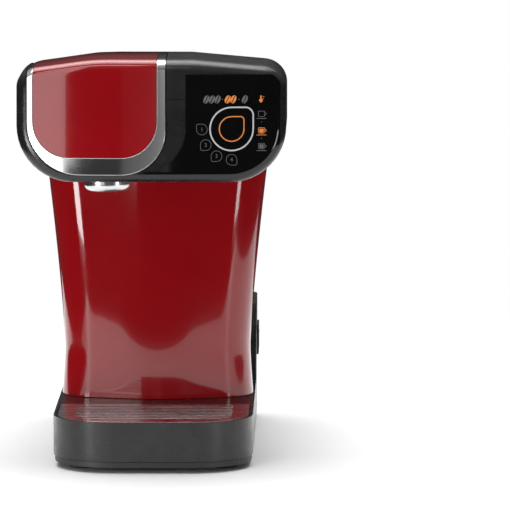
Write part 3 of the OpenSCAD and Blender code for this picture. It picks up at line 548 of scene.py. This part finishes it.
def head_form(wall=0.0):
    """The whole head as one closed form, moved inwards by a wall."""
    def ring(depth, y, flat=0.0):
        points = rounded(inset(HEAD_FACE, depth + wall))
        wide = half_width(y) / HEAD_HALF
        tall = (crown_at(y) - HEAD_Z) / (HEAD_TOP - HEAD_Z)
        placed = []
        for p in points:
            forward = (front_at(p.x, p.y) - FRONT_Y) * (1 - flat)
            placed.append(Vector((p.x * wide, y + forward, HEAD_Z + (p.y - HEAD_Z) * tall)))
        return placed

    front = FRONT_Y + wall
    back = HEAD_BACK - wall
    rings = [ring(d, front) for d in (33, 26, 19, 13)]
    turns = [radians(15 * i) for i in range(7)]
    rings += [ring(RIM_ROUND * (1 - sin(a)), front + RIM_ROUND * (1 - cos(a))) for a in turns]
    start, end = front + RIM_ROUND, back - REAR_ROUND
    stations = 22
    for i in range(1, stations):
        t = i / stations
        rings.append(ring(0, start + (end - start) * t, t))
    rings += [ring(REAR_ROUND * (1 - cos(a)), back - REAR_ROUND * (1 - sin(a)), 1) for a in turns]
    rings += [ring(d, back, 1) for d in (21, 28, 33)]
    return loft(rings)


# ---- Lid --------------------------------------------------------------------------------------------

def run_of(x, z):
    """The way along the head's skin from the crease down to a height."""
    top = crease_at(x)
    slope = (front_at(x, top) - front_at(x, HEAD_Z)) / (top - HEAD_Z)
    return -(top - z) * sqrt(1 + slope ** 2)


def low_edge(x, x0, x1, z0, left, right):
    """Height of the lower edge of a U-shaped outline."""
    return z0 + arc_drop(x - x0, left) + arc_drop(x1 - x, right)


def lid_skin():
    """The red skin: it hangs over the crease, its lower corners rounded."""
    x0, x1, z0 = skin_low.x, skin_high.x, skin_low.z
    front_share = 0.45

    def place(u, v):
        turn = (1 - cos(pi * u)) / 2
        x = min(max(x0 + (x1 - x0) * (0.5 * u + 0.5 * turn), x0), x1)
        start = run_of(x, low_edge(x, x0, x1, z0, SKIN_CORNER, SKIN_CORNER))
        end = lid_high.y - front_at(x, crease_at(x))
        if v < front_share:
            return on_head(x, start * (1 - v / front_share))
        return on_head(x, end * (v - front_share) / (1 - front_share))

    made = as_object(sheet(place, 72, 64, (0, -1, 1)), "lid_skin_lacquered")
    thicken(made, LID_WALL)
    soften(made, 0.7)
    return finish(made, "brew_lid", "red_casing", red_casing, ["lid_skin"])


def u_path(x0, x1, z0, left, right):
    """Stations along a U: over the top at the left, down, along the foot and up again."""
    legs = 14
    foot = 16
    turns = [pi / 2 * i / 14 for i in range(14)]
    points = [(x0 + left * (1 - cos(a)), z0 + left * (1 - sin(a))) for a in turns]
    points += [(x0 + left + (x1 - right - x0 - left) * i / foot, z0) for i in range(foot)]
    points += [(x1 - right * (1 - sin(a)), z0 + right * (1 - cos(a))) for a in turns]
    top0, top1 = (lid_high.y - front_at(x, crease_at(x)) for x in (x0, x1))
    down0, down1 = run_of(x0, z0 + left), run_of(x1, z0 + right)
    path = [(x0, top0 * (1 - i / legs)) for i in range(legs)]
    path += [(x0, down0 * i / legs) for i in range(legs)]
    path += [(x, run_of(x, z)) for x, z in points]
    path += [(x1, down1 * (1 - i / legs)) for i in range(legs)]
    path += [(x1, top1 * i / legs) for i in range(legs + 1)]
    return path


def lid_trim():
    """The chrome trim: a flat band around the skin that sinks a little towards it."""
    gap = 0.12
    steps = 8
    tilt = 0.012
    outer = u_path(lid_low.x, lid_high.x, lid_low.z, LID_CORNER_LEFT, LID_CORNER_RIGHT)
    inner = u_path(skin_low.x - gap, skin_high.x + gap, skin_low.z - gap, SKIN_CORNER, SKIN_CORNER)

    def place(u, v):
        a, b = outer[round(u * (len(outer) - 1))], inner[round(u * (len(inner) - 1))]
        x, q = a[0] + (b[0] - a[0]) * v, a[1] + (b[1] - a[1]) * v
        point = on_head(x, q)
        sink = tilt * v * sqrt((b[0] - a[0]) ** 2 + (b[1] - a[1]) ** 2)
        if q < -CREASE_ROUND:
            return Vector((x, front_at(x, point.z) + sink, point.z))
        return point + Vector((0, sink, 0)) if q < 0 else point - Vector((0, 0, sink))

    made = as_object(sheet(place, len(outer) - 1, steps, (0, -1, 1)), "lid_trim_chromed")
    thicken(made, LID_WALL - 0.6)
    soften(made, 0.4)
    return finish(made, "brew_lid", "chrome_trim", chrome_trim, ["lid_trim"])


# ---- Head pieces ------------------------------------------------------------------------------------

def lid_bay(grow=0.0):
    """The room that the lid closes and swings in."""
    hinge = node_box("lid_hinge_pin")
    hinge_y, hinge_z = (hinge[0].y + hinge[1].y) / 2, (hinge[0].z + hinge[1].z) / 2
    over = HEAD_TOP + 12
    face = [
        (lid_low.x, lid_low.z, LID_CORNER_LEFT),
        (lid_high.x, lid_low.z, LID_CORNER_RIGHT),
        (lid_high.x, over, 0),
        (lid_low.x, over, 0),
    ]
    edge = HAND_GAP + grow
    tools = [along_y(rounded(inset(face, -edge), 16), FRONT_Y - 9, hinge_y + grow)]
    rise = HEAD_TOP - BACK_FALL * (lid_high.y - CROWN_Y) / (HEAD_BACK - CROWN_Y) - hinge_z
    sweep = sqrt(rise ** 2 + (hinge_y - lid_high.y) ** 2) + edge
    tools.append(rod((lid_low.x - edge, hinge_y, hinge_z), (lid_high.x + edge, hinge_y, hinge_z), sweep, 64))
    return tools


def head_shells():
    """Lower housing and top cover: one hollow form, cut at the parting."""
    whole = as_object(head_form(), "head")
    hollow = as_object(head_form(WALL), "hollow")
    carve(hollow, lid_bay(2.0))
    cut(whole, hollow)
    centre = (spout_low + spout_high) / 2
    hole = rod((centre.x, centre.y, HEAD_Z - 2), (centre.x, centre.y, HEAD_Z + 7), 16.8, 64)
    carve(whole, [*lid_bay(), hole])
    recess = panel_sheet(0.12, 1.0)
    bmesh.ops.solidify(recess, geom=recess.faces[:], thickness=PANEL_T + 1.1)
    bmesh.ops.recalc_face_normals(recess, faces=recess.faces)
    carve(whole, [recess])
    far = 300
    names = ("head_lower_housing", "head_top_cover")
    spans = ((HEAD_Z - 9, part_z - 0.12), (part_z + 0.12, HEAD_TOP + 9))
    for name, (z0, z1) in zip(names, spans):
        made = added(name + "_moulded", whole.data.copy())
        carve(made, [block((-far, -far, z0), (far, far, z1))], "INTERSECT")
        made.data.shade_smooth()
        soften(made, 0.35, 2, 38)
        finish(made, "machine", "black_casing", black_casing, [name])
    bpy.data.objects.remove(whole)


# ---- Control panel ----------------------------------------------------------------------------------

def panel_left(z):
    """The panel's left edge follows the lid's corner, set off by the black band."""
    x1 = lid_high.x + BAND_W
    middle = lid_low.z + BAND_RISE + LID_CORNER_RIGHT
    if z >= middle:
        return x1
    below = middle - z
    if below >= LID_CORNER_RIGHT:
        return panel_low.x
    return max(panel_low.x, x1 - LID_CORNER_RIGHT + sqrt(LID_CORNER_RIGHT ** 2 - below ** 2))


def panel_right(z):
    """The panel's right edge follows the head's lower corner."""
    margin = panel_low.z - HEAD_Z
    radius = LOW_CORNER - margin
    above = z - HEAD_Z - margin
    below = HEAD_TOP - RIGHT_DROP - margin - z
    top_radius = TOP_CORNER_RIGHT - margin
    limit = HEAD_HALF - margin - max(arc_drop(above, radius), arc_drop(below, top_radius))
    return min(panel_high.x, limit)


def panel_sheet(grow, proud):
    """The face of the panel, grown at its edges and raised."""
    z0, z1 = panel_low.z, panel_high.z

    def place(u, v):
        z = z0 + (z1 - z0) * v ** 1.5
        left, right = panel_left(z) - grow, panel_right(z) + grow
        height = z + grow * (2 * v - 1)
        spot = left + (right - left) * u
        return face_point(spot, height, proud)

    return sheet(place, 56, 48, (0, -1, 0))


def control_panel():
    made = as_object(panel_sheet(-0.1, 0.0), "control_panel_glass")
    thicken(made, PANEL_T)
    soften(made, 0.35, 3, 50)
    return finish(made, "machine", "panel_black", panel_black, ["control_panel_plate"])


# ---- Symbols on the panel ---------------------------------------------------------------------------

RING_X = 55.8
RING_Z = HEAD_Z + 37.5
INK_T = 0.14
INK_PROUD = 0.08


def on_panel(mesh, x, z):
    """Lays a flat (across, up) mesh on the panel around a point and gives it a little thickness."""
    for vert in mesh.verts:
        vert.co = face_point(x + vert.co.x, z + vert.co.y, INK_PROUD)
    mesh.normal_update()
    for face in mesh.faces:
        if face.normal.y > 0:
            face.normal_flip()
    bmesh.ops.solidify(mesh, geom=mesh.faces[:], thickness=INK_T)
    bmesh.ops.recalc_face_normals(mesh, faces=mesh.faces)
    return mesh


def filled(points):
    mesh = bmesh.new()
    mesh.faces.new([mesh.verts.new((p[0], p[1], 0)) for p in points])
    return mesh


def band(corners, width):
    """A line of even width along a closed outline."""
    mesh = bmesh.new()
    edges = []
    for side in (-width / 2, width / 2):
        verts = [mesh.verts.new((p.x, p.y, 0)) for p in rounded(inset(corners, side), 10)]
        edges += [mesh.edges.new((v, verts[(i + 1) % len(verts)])) for i, v in enumerate(verts)]
    bmesh.ops.bridge_loops(mesh, edges=edges)
    return mesh


def teardrop(radius, point, quarter):
    """A circle with one pointed corner, its quarter counted from the lower left, counter-clockwise."""
    square = [(-1, -1), (1, -1), (1, 1), (-1, 1)]
    return [(a * radius, b * radius, point if i == quarter else radius * 0.999)
            for i, (a, b) in enumerate(square)]


def join_meshes(parts):
    """One bmesh out of several."""
    whole = bmesh.new()
    for part in parts:
        data = bpy.data.meshes.new("part")
        part.to_mesh(data)
        part.free()
        whole.from_mesh(data)
        bpy.data.meshes.remove(data)
    return whole


def bean(tilt=0.42, tall=3.0, wide=1.85, gap=0.28):
    """A coffee bean as two halves either side of its slanting seam."""
    halves = []
    for start in (0, pi):
        outline = []
        for i in range(13):
            a = start + gap / 2 + (pi - gap) * i / 12
            across, up = wide * sin(a), tall * cos(a)
            outline.append((across * cos(tilt) + up * sin(tilt), up * cos(tilt) - across * sin(tilt)))
        halves.append(filled(outline))
    return join_meshes(halves)


def dot(radius):
    return filled([(radius * cos(a * pi / 8), radius * sin(a * pi / 8)) for a in range(16)])


def bar(x0, x1, z0, z1, radius=0.2):
    return filled(rounded([(x0, z0, radius), (x1, z0, radius), (x1, z1, radius), (x0, z1, radius)], 4))


def cup(wide, tall, level):
    """A cup on a saucer, with its fill as a bar."""
    parts = [
        band([(-wide, -tall, 0.9), (wide, -tall, 0.9), (wide, tall, 0.25), (-wide, tall, 0.25)], 0.35),
        bar(-wide - 1.3, wide + 1.3, -tall - 1.4, -tall - 1.0, 0.15),
        band([(wide, -0.6, 0.3), (wide + 1.1, -0.6, 0.3), (wide + 1.1, 0.7, 0.3), (wide, 0.7, 0.3)], 0.3),
    ]
    if level:
        parts.append(bar(-wide + 0.6, wide - 0.6, -tall + 0.5, -tall + 0.5 + level, 0.5))
    return join_meshes(parts)


def thermometer():
    return join_meshes([bar(-0.5, 0.5, -1.6, 3.4, 0.45), dot(1.25), bar(1.2, 2.4, 2.4, 2.8, 0.1),
                        bar(1.2, 2.0, 1.0, 1.4, 0.1)])


def digit(text, size):
    """A numeral as a flat mesh around its middle."""
    curve = bpy.data.curves.new("numeral", "FONT")
    curve.body = text
    curve.size = size
    curve.align_x = "CENTER"
    curve.align_y = "CENTER"
    holder = added("numeral", curve)
    graph = bpy.context.evaluated_depsgraph_get()
    data = bpy.data.meshes.new_from_object(holder.evaluated_get(graph))
    mesh = bmesh.new()
    mesh.from_mesh(data)
    bpy.data.objects.remove(holder)
    bmesh.ops.remove_doubles(mesh, verts=mesh.verts, dist=0.001)
    return mesh


def symbols():
    """All symbols, as [name, finish, [(mesh, across, up) around the main ring]]."""
    memory = [(-20.5, -0.3, 3), (-17.8, -11.0, 0), (-10.4, -18.7, 0), (0.0, -21.2, 1)]
    dim = []
    for number, (x, z, quarter) in enumerate(memory, 1):
        dim.append((band(teardrop(3.7, 1.2, quarter), 0.32), x, z))
        dim.append((digit(str(number), 3.6), x, z))
    bean_z = 20.4
    pitch = 3.9
    grey_beans = [(bean(), -17.4 + pitch * i, bean_z) for i in range(3)] + [(bean(), 9.1, bean_z)]
    amber_beans = [(bean(), -2.7 + pitch * i, bean_z) for i in range(2)]
    between = [(dot(0.35), -6.3, bean_z), (dot(0.35), 5.0, bean_z)]
    cups = [(cup(2.1, 1.9, 0), 20.6, 10.2), (cup(2.1, 1.9, 2.6), 20.6, -12.0)]
    cups += [(dot(0.3), 20.6, z) for z in (4.6, -6.6)]
    return [
        ("ring_light", glow_white, [(band(teardrop(14.9, 5.5, 2), 1.05), 0, 0)]),
        ("start_light", glow_amber, [(band(teardrop(8.5, 2.4, 2), 0.75), 0, 0)]),
        ("memory_lights", glow_dim, dim),
        ("strength_lights_off", glow_dim, grey_beans + between),
        ("strength_lights_on", glow_amber, amber_beans),
        ("temperature_light", glow_amber, [(thermometer(), 20.2, 19.6)]),
        ("cup_lights_off", glow_dim, cups),
        ("cup_light_on", glow_amber, [(cup(2.1, 1.9, 2.6), 20.6, -1.2)]),
    ]


def panel_symbols():
    for name, material, marks in symbols():
        meshes = [on_panel(mesh, RING_X + x, RING_Z + z) for mesh, x, z in marks]
        made = as_object(join_meshes(meshes), name)
        made.data.set_sharp_from_angle(angle=radians(30))
        finish(made, "machine", "light_guide", material, ["icon_light_guides"])


# ---- Column -----------------------------------------------------------------------------------------

def column_half(z):
    reach = (z - WAIST_Z) / (HEAD_Z - WAIST_Z)
    return WAIST_HALF + (COLUMN_HALF - WAIST_HALF) * abs(reach) ** COLUMN_POWER


def resampled(points, count):
    """Points at even steps along an open path."""
    lengths = [0.0]
    for a, b in zip(points, points[1:]):
        lengths.append(lengths[-1] + (b - a).length)
    found, i = [], 0
    for k in range(count + 1):
        want = lengths[-1] * k / count
        while i < len(points) - 2 and lengths[i + 1] < want:
            i += 1
        span = lengths[i + 1] - lengths[i]
        found.append(points[i].lerp(points[i + 1], (want - lengths[i]) / span if span else 0))
    return found


def open_path(corners, steps=20):
    """An open plan path from (x, y, radius) corners, rounded at all but its ends."""
    flat = [Vector(c[:2]) for c in corners]
    points = [flat[0]]
    for i in range(1, len(flat) - 1):
        points += corner_arc(flat[i - 1], flat[i], flat[i + 1], corners[i][2], steps)
    return points + [flat[-1]]


def under_head(x, y):
    """Height of the underside of the head, which rises towards its sides."""
    tall = (crown_at(y) - HEAD_Z) / (HEAD_TOP - HEAD_Z)
    return HEAD_Z + tall * arc_drop(HEAD_HALF - abs(x) * HEAD_HALF / half_width(y), LOW_CORNER)


def column_wall(name, corners, outwards, slot, material, node):
    """A wall that follows a plan path, narrows to the waist and ends inside the head."""
    path = resampled(open_path(corners), 96)
    z0 = node_box(node)[0].z
    rows = 36

    def place(u, v):
        plan = path[round(u * (len(path) - 1))]
        z1 = under_head(plan.x, plan.y) + 1.0
        z = z0 + (z1 - z0) * v
        return Vector((plan.x * column_half(z) / COLUMN_HALF, plan.y, z))

    made = as_object(sheet(place, len(path) - 1, rows, outwards), name)
    thicken(made, WALL)
    soften(made, 0.6, 3, 50)
    return finish(made, "machine", slot, material, [node])


def column():
    front, split, back = shell_low.y, shell_high.y, chassis_high.y
    half, back_half = COLUMN_HALF + 2.4, COLUMN_BACK_HALF
    seam = 0.25
    shoulder = front + 18
    side = half + (back_half - half) * (split - shoulder) / (back - shoulder)
    front_path = [
        (-side, split - seam, 0), (-half, shoulder, 30), (0, front, 140),
        (half, shoulder, 30), (side, split - seam, 0),
    ]
    back_path = [
        (side, split + seam, 0), (back_half, back, 16), (-back_half, back, 16), (-side, split + seam, 0),
    ]
    column_wall("column_front_lacquered", front_path, (0, -1, 0), "red_casing", red_casing,
                "column_front_shell")
    column_wall("column_chassis_moulded", back_path, (0, 1, 0), "black_casing", black_casing,
                "column_chassis")


def spout():
    """The drink outlet: a turned cup with a soft lower edge and a flange above."""
    centre = (spout_low + spout_high) / 2
    bore, lip, radius, flange = 2.5, 11.0, 16.5, 18.9
    z0, z1 = spout_low.z, spout_high.z
    curve = radius - lip
    profile = [(bore, z1), (bore, z0 + 1.5), (bore + 2.0, z0), (lip, z0)]
    profile += [(lip + curve * sin(a), z0 + curve * (1 - cos(a)))
                for a in [radians(7.5 * i) for i in range(1, 13)]]
    profile += [(radius, z1 - 3.2), (flange, z1 - 3.0), (flange, z1)]
    made = as_object(turned(profile, Vector((centre.x, centre.y, 0))), "drink_spout_turned")
    soften(made, 0.3, 2, 35)
    finish(made, "machine", "steel", satin_silver, ["drink_spout"])


# ---- Other pieces -----------------------------------------------------------------------------------

def carried_pieces():
    """CAD shapes that show: the same form with joined faces and rounded edges."""
    rows = [
        ("base_housing", "machine", "black_casing", black_casing, 1.6),
        ("base_plate", "machine", "black_casing", black_moulding, 0.8),
        ("rubber_feet", "machine", "rubber", rubber, 0.8),
        ("drip_tray", "tray", "black_casing", black_casing, 1.2),
        ("drip_grate", "grate", "steel", steel, 0.5),
        ("tank_shell", "tank", "tank_clear", tank_clear, 0.8),
        ("tank_outlet", "tank", "grey_plastic", grey_plastic, 0.4),
        ("tank_lid", "tank_cover", "black_casing", black_casing, 1.6),
        ("tank_dock", "machine", "grey_plastic", grey_plastic, 0.6),
        ("lid_frame", "brew_lid", "black_casing", black_moulding, 0.5),
        ("pod_clamp", "brew_lid", "grey_plastic", grey_plastic, 0.6),
        ("clamp_pad", "brew_lid", "silicone", silicone, 0.5),
        ("pod_cradle", "machine", "grey_plastic", grey_plastic, 0.5),
        ("filter_funnel", "tank", "white_plastic", white_plastic, 0.4),
        ("filter_cartridge", "tank", "white_plastic", white_plastic, 1.0),
        ("tank_float", "float", "white_plastic", white_plastic, 0.8),
        ("cord_gland", "machine", "rubber", rubber, 0.6),
        ("switch_bezel", "machine", "black_casing", black_moulding, 0.4),
        ("power_rocker", "rocker", "black_casing", black_casing, 0.4),
        ("cleaning_disc", "disc", "amber_plastic", amber_plastic, 0.5),
    ]
    for node, body, slot, material, width in rows:
        made = refined(node, body, slot, material, width)
        if node == "lid_frame":  # set back behind the trim, by the head's bow and lean
            for vert in made.data.vertices:
                x, y, z = vert.co / MM
                if y < FRONT_Y + 20:
                    vert.co.y += min(front_at(x, z) - FRONT_Y, FRONT_LEAN) * MM


def dress_nodes():
    """Finishes for the CAD nodes that keep their own shape."""
    finishes = {
        circuit_board: ["touch_board", "pod_reader_board", "control_board"],
        reader_window: ["pod_reader_window"],
        grey_plastic: ["piercing_unit", "pump_body", "flow_meter_body", "flow_meter_cover",
                       "tank_valve", "thermal_fuse"],
        white_plastic: ["flow_impeller", "heater_thermostat"],
        silicone: ["inlet_seal", "dock_hose", "suction_hose", "pressure_hose", "brew_hose"],
        rubber: ["dock_seal", "pump_mounts"],
        black_moulding: ["lid_switch"],
        steel: ["lid_hinge_pin", "lid_screws", "pump_plunger", "pump_spring", "base_screws",
                "tank_lid_pins", "heater_elements"],
        aluminium: ["heater_block"],
        copper: ["pump_coil"],
    }
    for material, nodes in finishes.items():
        for name in nodes:
            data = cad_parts[name].data
            data.materials.clear()
            data.materials.append(material)


# ---- Stage, light and camera ------------------------------------------------------------------------

def stage():
    floor_finish = Finish("pale_floor", (0.90, 0.90, 0.90), 0.6)
    floor_finish.shaded(3, (0.90, 0.90, 0.90), (0.915, 0.915, 0.915))
    mesh = bmesh.new()
    bmesh.ops.create_grid(mesh, x_segments=1, y_segments=1, size=620)
    bmesh.ops.translate(mesh, vec=(120, 20, 0), verts=mesh.verts)
    floor = as_object(mesh, "floor")
    floor.data.materials.append(floor_finish.material)


def soft_light(name, place, aim, width, height, power):
    lamp = bpy.data.lights.new(name, "AREA")
    lamp.shape = "RECTANGLE"
    lamp.size = width
    lamp.size_y = height
    lamp.energy = power
    holder = added(name, lamp)
    holder.location = place
    holder.rotation_euler = (Vector(aim) - Vector(place)).to_track_quat("-Z", "Y").to_euler()
    holder.visible_camera = False


def lights():
    """A dim room with a white backdrop, soft boxes in front and a wide sky above."""
    box_y, card_x, edge_x = -1.36, 0.03, -0.345
    world = bpy.data.worlds.new("studio")
    bpy.context.scene.world = world
    world.use_nodes = True
    nodes, links = world.node_tree.nodes, world.node_tree.links
    dim = nodes["Background"]
    dim.inputs["Strength"].default_value = 1.0
    place = nodes.new("ShaderNodeTexCoord")
    split = nodes.new("ShaderNodeSeparateXYZ")
    ramp = nodes.new("ShaderNodeValToRGB")
    ramp.color_ramp.elements[0].position = 0.05
    ramp.color_ramp.elements[0].color = (0.03, 0.03, 0.03, 1)
    ramp.color_ramp.elements[1].position = 0.8
    ramp.color_ramp.elements[1].color = (0.45, 0.45, 0.45, 1)
    links.new(place.outputs["Generated"], split.inputs["Vector"])
    links.new(split.outputs["Z"], ramp.inputs["Fac"])
    links.new(ramp.outputs["Color"], dim.inputs["Color"])
    bright = nodes.new("ShaderNodeBackground")
    bright.inputs["Strength"].default_value = 1.0
    bright.inputs["Color"].default_value = (1, 1, 1, 1)
    path = nodes.new("ShaderNodeLightPath")
    mix = nodes.new("ShaderNodeMixShader")
    links.new(path.outputs["Is Camera Ray"], mix.inputs["Fac"])
    links.new(dim.outputs["Background"], mix.inputs[1])
    links.new(bright.outputs["Background"], mix.inputs[2])
    links.new(mix.outputs["Shader"], nodes["World Output"].inputs["Surface"])
    soft_light("left_box", (-0.625, box_y, 0.55), (-0.625, 0, 0.55), 0.56, 1.0, 4.5)
    soft_light("left_low_strip", (-0.66, -0.72, 0.11), (-0.04, 0, 0.15), 0.22, 0.2, 1.8)
    for i in range(6):
        wide = 0.03 + 0.028 * i
        place = (card_x - wide / 2, box_y, 0.30)
        soft_light("front_card", place, (place[0], 0, 0.30), wide, 0.34, 0.5 * wide / (i + 1))
    for i in range(3):
        wide = 0.03 * (i + 1)
        place = (edge_x - wide / 2, box_y, 0.45)
        soft_light("left_edge", place, (place[0], 0, 0.45), wide, 0.8, 2.6 * wide)
    soft_light("right_low_strip", (0.72, -0.70, 0.11), (0.04, 0, 0.15), 0.16, 0.2, 0.7)
    soft_light("front_top", (-0.30, -1.10, 1.15), (0, -0.1, 0.28), 0.5, 0.35, 1.6)
    soft_light("overhead", (0.1, 0.35, 1.5), (0, 0, 0.25), 1.6, 1.2, 14)
    sun = bpy.data.lights.new("sky", "SUN")
    sun.energy = 2.1
    sun.angle = radians(50)
    added("sky", sun).rotation_euler = (radians(-3), radians(-6), 0)


def camera():
    """A long lens a little to the right of and above the head, aimed past it."""
    away, azimuth, elevation = 4.0, radians(1.75), radians(5)
    middle = Vector((0, FRONT_Y * MM, (HEAD_Z + HEAD_TOP) / 2 * MM))
    aside = Vector((sin(azimuth) * cos(elevation), -cos(azimuth) * cos(elevation), sin(elevation)))
    eye = middle + away * aside
    aim = Vector((0.072, FRONT_Y * MM, 0.1535))
    lens = bpy.data.cameras.new("camera")
    lens.sensor_width = 36
    lens.lens = 409.3
    holder = added("camera", lens)
    holder.location = eye
    holder.rotation_euler = (aim - eye).to_track_quat("-Z", "Y").to_euler()
    bpy.context.scene.camera = holder
    bpy.context.scene.view_settings.view_transform = "Standard"


camera()
stage()
lights()
lid_skin()
lid_trim()
head_shells()
control_panel()
panel_symbols()
column()
spout()
carried_pieces()
dress_nodes()
